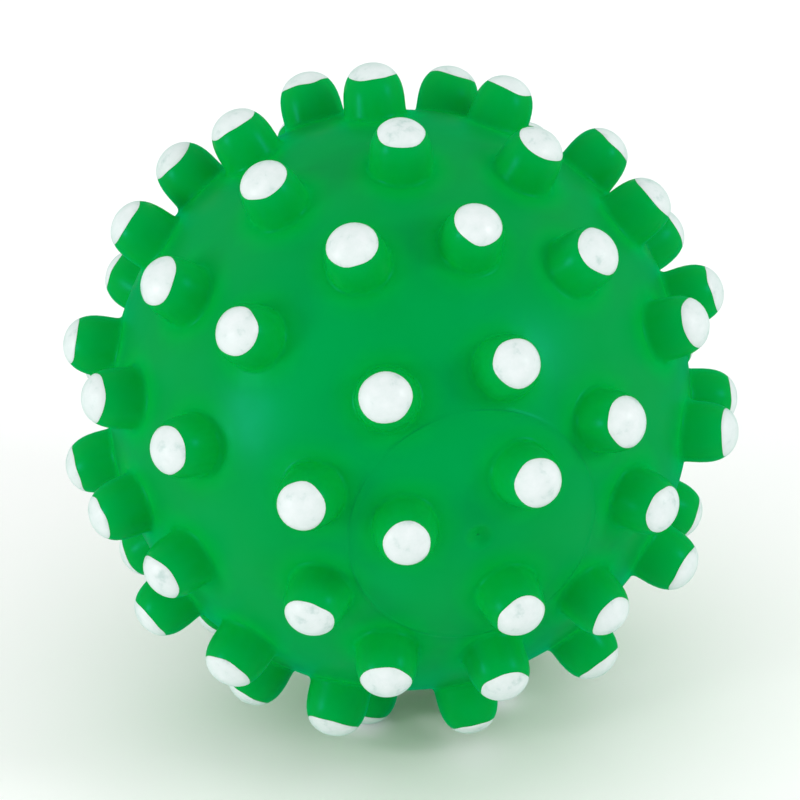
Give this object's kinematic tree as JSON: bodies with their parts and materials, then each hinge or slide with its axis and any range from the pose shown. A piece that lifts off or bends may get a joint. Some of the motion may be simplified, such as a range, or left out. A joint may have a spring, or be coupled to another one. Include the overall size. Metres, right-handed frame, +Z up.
{
  "type": "spiky squeeze ball",
  "caption": "Hollow soft vinyl ball covered in short blunt spikes with white painted ends, with a vented cap and a squeaker inside.",
  "frame": {"origin": "centre of the ball", "axes": "+Z up as the ball stands on four spikes, +Y along the ring axis from the vented cap in front to the rear pole, +X to the right"},
  "size_m": [0.098, 0.0968, 0.0972],
  "materials": {
    "green_vinyl": "satin soft vinyl",
    "tip_paint": "satin white paint on the spikes' ends",
    "squeaker_plastic": "natural moulded plastic",
    "reed_brass": "rolled brass strip"
  },
  "bodies": {
    "ball": {"ball_shell": "green_vinyl"},
    "cap": {"closing_cap": "green_vinyl", "squeaker_housing": "squeaker_plastic", "reed_plate": "squeaker_plastic", "reed_clamp": "squeaker_plastic", "squeaker_cover": "squeaker_plastic"},
    "reed": {"reed": "reed_brass"}
  },
  "joints": [
    {"name": "cap_press", "type": "slide", "parent": "ball", "child": "cap", "axis": [0, 1, 0], "range_m": [0, 0.008], "stiffness_N_per_m": 800},
    {"name": "reed_flex", "type": "hinge", "parent": "cap", "child": "reed", "pos_m": [0, -0.03424, 0.0026], "axis": [1, 0, 0], "range_deg": [0, 6], "stiffness_Nm_per_rad": 0.00005}
  ]
}
